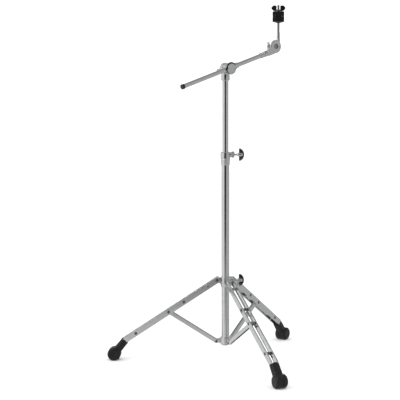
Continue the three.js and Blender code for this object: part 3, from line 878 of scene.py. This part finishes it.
def eye_bolt():
    eye = moved(rod(12, PLATE["front"] + 2.5, DRUM["back"] - GAP, 0.8), ALONG_Y)
    shank = moved(thread(DRUM["back"] - 2, 30), ALONG_Y)
    return join(cut(eye, boom_bore()), shank)


def wing_nut(start, hub, hub_radius, span, rise, thickness=4.5):
    """A wing nut along Z with wings along X: a waisted hub and two rounded, upswept wings."""
    body = lathe([
        (0, start), (hub_radius, start), (hub_radius - 0.4, start + 0.3 * hub),
        (hub_radius - 1.5, start + hub), (0, start + hub),
    ], 0.7)
    right = [(0.72, 0.06), (1, 0.4), (1, 0.68), (0.72, 1), (0.42, 1), (0.34, 0.3)]
    outline = [*right, *((-x, z) for x, z in reversed(right))]  # in shares of span and rise
    outline = rounded([(x * span, start + z * rise) for x, z in outline], 0.13 * span, steps=6)
    wings = moved(slab(outline, -thickness / 2, thickness / 2, 0.06 * span, 4), UPRIGHT)
    bore = rod(BOLT + 0.4, start - 5, start + rise + 5)
    return cut(join(body, wings), bore)


def side_wing_nut(turn, **sizes):
    """The same nut on a bolt along Y, with its wings turned up from X by an angle in degrees."""
    return moved(wing_nut(**sizes), Matrix.Rotation(math.radians(-turn), 4, "Z"), ALONG_Y)


def build_tilter():
    tilt = Vector(JOINTS["boom_tilt"]["axis"])
    along = Vector(JOINTS["boom_slide"]["axis"])
    level = local_frame(pivot("boom_tilt"), tilt.cross(UP) * -1, -tilt)
    rising = local_frame(pivot("boom_tilt"), along, -tilt)
    tube_top = (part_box("upper_tube")[1].z - pivot("boom_tilt").z) / MM
    stand_for("tilter_base", tilter_base(tube_top), level, "casting")
    stand_for("tilter_drum", tilter_drum(), rising, "casting")
    ring = toothed_ring(RING["inner"], RING["outer"], RING["front"], RING["back"], teeth=48)
    stand_for("tilter_ring", ring, rising, "nylon")
    stand_for("tilter_eye_bolt", eye_bolt(), rising, "thread")
    nut = side_wing_nut(10, start=8.8, hub=17, hub_radius=8.5, span=25, rise=20.4)
    stand_for("tilter_wing_nut", nut, rising, "casting")
    return rising


# ------------------------------------------------------------------ boom and cymbal head


def head_lower(disc_x, disc_z):
    """The socket on the boom's end, which runs into the disc in front of the head's pivot."""
    radius, front, back = HEAD_DISC["radius"], HEAD_DISC["front"], HEAD_DISC["back"]
    hub_radius, hub_back = HEAD_DISC["hub_radius"], HEAD_DISC["hub_back"]
    at_pivot = shift(disc_x, 0, disc_z)
    aside = shift(y=-BOOM["side"])
    socket_profile = [(0, 163.3), (9.8, 163.3), (10.4, 165), (10.4, 189), (8.5, 193), (0, 193)]
    socket = moved(lathe(socket_profile, 1.0), ALONG_X, aside)
    outline = rounded([
        (176, -9.5), (disc_x, disc_z - radius + 0.5), (disc_x, disc_z), (disc_x - 20, 18),
        (176, 9),
    ], 3)
    half = 2.8
    arm = moved(slab(outline, -half, half, 1.2), UPRIGHT, shift(y=back - half))
    disc_profile = [
        (0, front + 0.8), (radius - 8, front + 0.8), (radius - 7, front), (radius - 1.6, front),
        (radius, front + 1.4), (radius, back - 0.8), (radius - 0.8, back), (0, back),
    ]
    disc = moved(lathe(disc_profile, 0.5), ALONG_Y, at_pivot)
    hub = moved(rod(hub_radius, back - 1, hub_back, 0.6), ALONG_Y, at_pivot)
    tube_bore = moved(rod(BOOM["radius"] + GAP, 150, BOOM["right"] + GAP), ALONG_X, aside)
    pocket = moved(rod(9.4, front - 4, front + 7), ALONG_Y, at_pivot)
    bolt_bore = moved(rod(BOLT_BORE, front, hub_back + 4), ALONG_Y, at_pivot)
    return cut(join(socket, arm, disc, hub), tube_bore, pocket, bolt_bore)


def head_upper():
    """The half that tilts: a disc behind the boom's with a hub for the nut, and an arm to the
    cymbal rod's boss."""
    radius, front, back = CARRIER["radius"], CARRIER["front"], CARRIER["back"]
    disc_profile = [(0, front), (radius, front), (radius, back - 1), (radius - 1, back), (0, back)]
    disc = moved(lathe(disc_profile, 0.8), ALONG_Y)
    outline = [(0, 0.5 - radius), (ROD["x"], -4), (ROD["x"], 14), (0, radius - 0.5)]
    half = (back - front) / 2 - 0.2
    arm = moved(slab(rounded(outline, 2), -half, half, 1.4), UPRIGHT, shift(y=(front + back) / 2))
    boss_profile = [(0, -5), (5.4, -5), (6.8, -3.4), (6.8, 26), (6, 28), (0, 28)]
    boss = moved(lathe(boss_profile, 1.0), shift(ROD["x"], ROD["y"]))
    rod_bore = moved(rod(BOLT + GAP, ROD["low"] - GAP, 40), shift(ROD["x"], ROD["y"]))
    end, step = CARRIER["hub_back"], 13.5
    hub = moved(lathe([
        (0, back - 1), (step, back - 1), (step, -4), (CARRIER["hub_radius"], end), (0, end),
    ], 0.8), ALONG_Y)
    bolt_bore = moved(rod(BOLT_BORE, front - 10, end + 10), ALONG_Y)
    return cut(join(disc, hub, arm, boss), rod_bore, bolt_bore)


def head_bolt():
    """A socket-head bolt along Y with a hexagon recess."""
    seat = HEAD_DISC["front"] + 7 - GAP
    cap = moved(rod(7, seat - 4.5, seat, 0.6), ALONG_Y)
    recess = moved(slab(hexagon(3.6), seat - 6, seat - 2, 0.01, 1), ALONG_Y)
    end = HEAD_NUT["start"] + HEAD_NUT["rise"]
    return join(cut(cap, recess), moved(thread(seat - 1, end), ALONG_Y))


def felt_washer(low, high, seed):
    """A crowned felt washer with a slightly lumpy pressed surface."""
    outer, bore, middle = FELT_RADIUS, 5, (low + high) / 2
    profile = rounded([
        (bore, low + 0.3), (outer - 0.4, low - 0.12), (outer, low + 2), (outer, middle),
        (outer, high - 2), (outer - 0.4, high + 0.12), (bore, high - 0.3),
    ], 0.7, steps=4)
    fine = []
    for here, ahead in zip(profile, profile[1:] + profile[:1]):
        steps = max(1, int((ahead - here).length / 1.2))
        fine += [here.lerp(ahead, i / steps) for i in range(steps)]

    def lumps(angle, radius, height):
        place = Vector((math.cos(angle) * radius, math.sin(angle) * radius, height + seed))
        dent = 0.35 * (0.5 + 0.5 * noise.noise(place * 0.35))
        nap = 0.2 * abs(noise.noise(place * 1.3))
        return radius - dent - nap

    return lathe([tuple(p) for p in fine], segments=96, shape=lumps)


def seat_cup(low, high):
    """The nylon cup under the felts, with a stepped underside and a thin lip."""
    bore = BOLT + 0.4
    return lathe([
        (bore, low), (8, low), (9, low + 0.6), (12, low + 1.6), (FELT_RADIUS + 0.7, high - 1.6),
        (FELT_RADIUS + 1, high - 0.4), (FELT_RADIUS + 0.7, high), (bore, high),
    ], 0.4)


def top_wing_nut(start):
    """The nylon wing nut on the rod: two flared wings, each with a rib along its inner edge."""
    nut = wing_nut(start, hub=4, hub_radius=15, span=25.3, rise=21)
    ribs = []
    for middle in (-9.7, 9.7):
        rib = rectangle(middle - 3.1, middle + 3.1, start + 1.5, start + 20.8)
        ribs.append(moved(slab(rounded(rib, 2.4), -3.6, 3.6, 1.2, 3), UPRIGHT))
    return join(nut, *ribs)


def end_cap():
    """The plug on the boom's free end, with a rim over the tube."""
    left, bore = BOOM["left"], BOOM["radius"] + GAP
    return lathe([
        (0, left - 2.6), (8.2, left - 2.8), (9.1, left - 1.8), (9.1, left + 7), (bore, left + 7.6),
        (bore, left - GAP), (0, left - GAP),
    ], 0.4)


def ferrule():
    """The grooved sleeve on the boom next to the head."""
    bore = BOOM["radius"] + GAP
    return lathe([
        (bore, 145), (9.0, 145), (9.6, 146.5), (9.6, 151), (8.9, 151.8), (8.9, 153.2), (9.6, 154),
        (9.6, 158.5), (8.9, 159.3), (8.9, 160.4), (9.6, 161.2), (9.6, 163), (bore, 163),
    ], 0.35)


def build_boom(rising):
    aside = shift(y=-BOOM["side"])
    radius = BOOM["radius"]
    arm = tube(radius - BOOM["wall"], radius, BOOM["left"], BOOM["right"], 0.4, 80)
    stand_for("boom_tube", moved(arm, ALONG_X, aside), rising, "tube")
    stand_for("boom_end_cap", moved(end_cap(), ALONG_X, aside), rising, "nylon")
    stand_for("boom_ferrule", moved(ferrule(), ALONG_X, aside), rising, "casting")
    head_at = rising.inverted() @ pivot("head_tilt")
    stand_for("head_tilter_lower", head_lower(head_at.x, head_at.z), rising, "casting")


def build_head():
    tilt = Vector(JOINTS["boom_tilt"]["axis"])
    level = local_frame(pivot("head_tilt"), tilt.cross(UP) * -1, -tilt)
    ring = toothed_ring(
        BOLT_BORE, HEAD_RING["radius"], HEAD_RING["front"], HEAD_RING["back"], teeth=40,
    )
    stand_for("head_tilter_ring", ring, level, "nylon")
    stand_for("head_tilter_upper", head_upper(), level, "casting")
    stand_for("head_tilter_bolt", head_bolt(), level, "thread")
    stand_for("head_wing_nut", side_wing_nut(90, **HEAD_NUT), level, "casting")
    build_seat(level @ shift(ROD["x"], ROD["y"]))


def cymbal_rod():
    """The M8 post: plain and a little thicker below the cup, threaded above it."""
    thick = BOLT + 0.6
    plain = lathe([
        (0, ROD["low"]), (BOLT, ROD["low"]), (BOLT, 50.3), (thick, 51), (thick, 83.4), (BOLT, 84),
        (BOLT, 96), (0, 96),
    ], 0.2)
    return join(plain, thread(92, ROD["high"]))


def build_seat(seat):
    """The rod and everything on it, with the nut's wings across the photograph's view."""
    stand_for("cymbal_rod", cymbal_rod(), seat, "thread")
    sleeve = tube(BOLT + 0.4, 6.3, 28.3, 50, 0.7, 48)
    stand_for("rod_sleeve", sleeve, seat, "casting")

    def heights(node):
        return ((corner.z - pivot("head_tilt").z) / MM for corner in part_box(node))

    stand_for("seat_cup", seat_cup(*heights("seat_cup")), seat, "nylon")
    for number, node in enumerate(("lower_felt", "upper_felt")):
        felt = stand_for(node, felt_washer(*heights(node), seed=40 * number), seat, "felt")
    nut_low, _ = heights("top_wing_nut")
    along = JOINTS["boom_slide"]["axis"]
    across = seat @ Matrix.Rotation(-math.atan2(along[1], along[0]), 4, "Z")
    stand_for("top_wing_nut", top_wing_nut(nut_low), across, "nylon")


# ------------------------------------------------------------------ stage


def build_floor():
    """A pale floor. Reflections leave it out, so the chrome mirrors only the studio."""
    half = 6.0
    axis = centre("base_tube")
    signs = ((-1, -1), (1, -1), (1, 1), (-1, 1))
    corners = [(axis.x + x * half, axis.y + y * half, 0) for x, y in signs]
    mesh = bpy.data.meshes.new("floor")
    mesh.from_pydata(corners, [], [(0, 1, 2, 3)])
    floor = bpy.data.objects.new("floor", mesh)
    bpy.context.scene.collection.objects.link(floor)
    material = bpy.data.materials.new("pale_floor")
    _, _, shader = links_of(material)
    shader.inputs["Base Color"].default_value = (0.9, 0.9, 0.9, 1)
    shader.inputs["Roughness"].default_value = 0.9
    shader.inputs["Specular IOR Level"].default_value = 0.0
    mesh.materials.append(material)
    floor.visible_glossy = False


def math_node(nodes, links, operation, first, second=None):
    """The result of a calculation on numbers or sockets."""
    node = nodes.new("ShaderNodeMath")
    node.operation = operation
    for socket, value in zip(node.inputs, (first, second)):
        if isinstance(value, (int, float)):
            socket.default_value = value
        elif value is not None:
            links.new(value, socket)
    return node.outputs[0]


def grey_ramp(nodes, links, value, stops):
    """Grey levels at places from 0 to 1."""
    node = nodes.new("ShaderNodeValToRGB")
    elements = node.color_ramp.elements
    while len(elements) > 1:
        elements.remove(elements[-1])
    for i, (place, level) in enumerate(stops):
        element = elements[0] if i == 0 else elements.new(place)
        element.position = place
        element.color = (level, level, level, 1)
    links.new(value, node.inputs["Fac"])
    return node.outputs["Color"]


def mix_grey(nodes, links, share, first, second):
    """A mix of two greys, each a number or a socket."""
    node = nodes.new("ShaderNodeMix")
    node.data_type = "RGBA"
    links.new(share, node.inputs["Factor"])
    for socket, value in ((node.inputs["A"], first), (node.inputs["B"], second)):
        if isinstance(value, float):
            socket.default_value = (value, value, value, 1)
        else:
            links.new(value, socket)
    return node.outputs["Result"]


def at_azimuth(degrees):
    """A place on a ramp over a ray's turn round the stand, with 0.5 straight ahead."""
    return 0.5 + degrees / 360


def at_height(degrees):
    """A place on a ramp over a ray's height, with 0.5 level and 1 straight up."""
    return 0.5 + degrees / 180


def ray_direction(nodes, links):
    """A ray's turn round the stand and its height, each from 0 to 1."""
    place = nodes.new("ShaderNodeTexCoord")
    split = nodes.new("ShaderNodeSeparateXYZ")
    links.new(place.outputs["Generated"], split.inputs[0])
    x, y, z = split.outputs
    azimuth = math_node(nodes, links, "ARCTAN2", x, math_node(nodes, links, "MULTIPLY", y, -1))
    share = math_node(nodes, links, "DIVIDE", azimuth, 2 * math.pi)
    turn = math_node(nodes, links, "ADD", share, 0.5)
    elevation = math_node(nodes, links, "ARCSINE", z)
    share = math_node(nodes, links, "DIVIDE", elevation, math.pi)
    return turn, math_node(nodes, links, "ADD", share, 0.5)


def studio_in_gloss(nodes, links, turn, height):
    """What the chrome mirrors: pale walls, a dark gap round the camera, grey floor and ceiling."""
    walls = grey_ramp(nodes, links, turn, [
        (0, 0.60), (0.18, 0.66), (at_azimuth(-36), 0.72), (0.5, 0.55), (at_azimuth(36), 0.38),
        (0.82, 0.42), (1, 0.50),
    ])
    gap = grey_ramp(nodes, links, turn, [
        (at_azimuth(-34), 0), (at_azimuth(-20), 1), (at_azimuth(19), 1), (at_azimuth(31), 0),
    ])
    band = grey_ramp(nodes, links, height, [
        (at_height(-14), 0), (at_height(-9), 1), (at_height(20), 1), (at_height(40), 0),
    ])
    below = grey_ramp(nodes, links, height, [(at_height(-35), 1), (at_height(-14), 0)])
    above = grey_ramp(nodes, links, height, [(at_height(22), 0), (at_height(50), 1)])
    dark = math_node(nodes, links, "MULTIPLY", gap, band)
    studio = mix_grey(nodes, links, dark, walls, 0.012)
    studio = mix_grey(nodes, links, below, studio, 0.42)
    return mix_grey(nodes, links, above, studio, 0.28)


def build_world():
    """A white studio, with other levels for what gloss mirrors and for the light from below."""
    world = bpy.data.worlds.new("studio")
    bpy.context.scene.world = world
    world.use_nodes = True
    nodes, links = world.node_tree.nodes, world.node_tree.links
    turn, height = ray_direction(nodes, links)
    white, from_below = 1.3, 0.25
    rays = nodes.new("ShaderNodeLightPath")
    underside = grey_ramp(nodes, links, height, [(at_height(-6), 1), (0.5, 0)])
    soft = mix_grey(nodes, links, underside, white, from_below)
    lit = mix_grey(nodes, links, rays.outputs["Is Diffuse Ray"], white, soft)
    gloss = studio_in_gloss(nodes, links, turn, height)
    shown = mix_grey(nodes, links, rays.outputs["Is Glossy Ray"], lit, gloss)
    links.new(shown, nodes["Background"].inputs["Color"])
    nodes["Background"].inputs["Strength"].default_value = 1.0


def build_light():
    """One large soft light high on the left, which leaves faint shadows on the floor."""
    data = bpy.data.lights.new("soft_light", "AREA")
    data.shape = "DISK"
    data.size = 2.5
    data.energy = 25
    light = bpy.data.objects.new("soft_light", data)
    offset = Vector((-2.2, -1.8, 2.6))
    light.location = centre("base_tube") + offset
    light.rotation_euler = (-offset).to_track_quat("-Z", "Y").to_euler()
    bpy.context.scene.collection.objects.link(light)


def build_camera():
    """The photograph's view: from a little right of straight ahead, looking down slightly."""
    distance, azimuth, elevation = 4.896, math.radians(3.15), math.radians(7.8)
    aim = Vector((centre("base_tube").x, centre("base_tube").y, 0.5945))
    back = Vector((
        math.sin(azimuth) * math.cos(elevation), -math.cos(azimuth) * math.cos(elevation),
        math.sin(elevation),
    ))
    data = bpy.data.cameras.new("camera")
    data.sensor_width = 36
    data.lens = 122.4
    data.shift_x = -0.0635
    data.clip_end = 50
    camera = bpy.data.objects.new("camera", data)
    camera.location = aim + back * distance
    camera.rotation_euler = (-back).to_track_quat("-Z", "Y").to_euler()
    bpy.context.scene.collection.objects.link(camera)
    bpy.context.scene.camera = camera


build_camera()
build_world()
build_light()
build_floor()
bpy.context.scene.view_settings.view_transform = "Standard"

build_column()
for leg_name, leg_azimuth in leg_azimuths().items():
    build_leg(leg_name, leg_azimuth)
build_boom(build_tilter())
build_head()
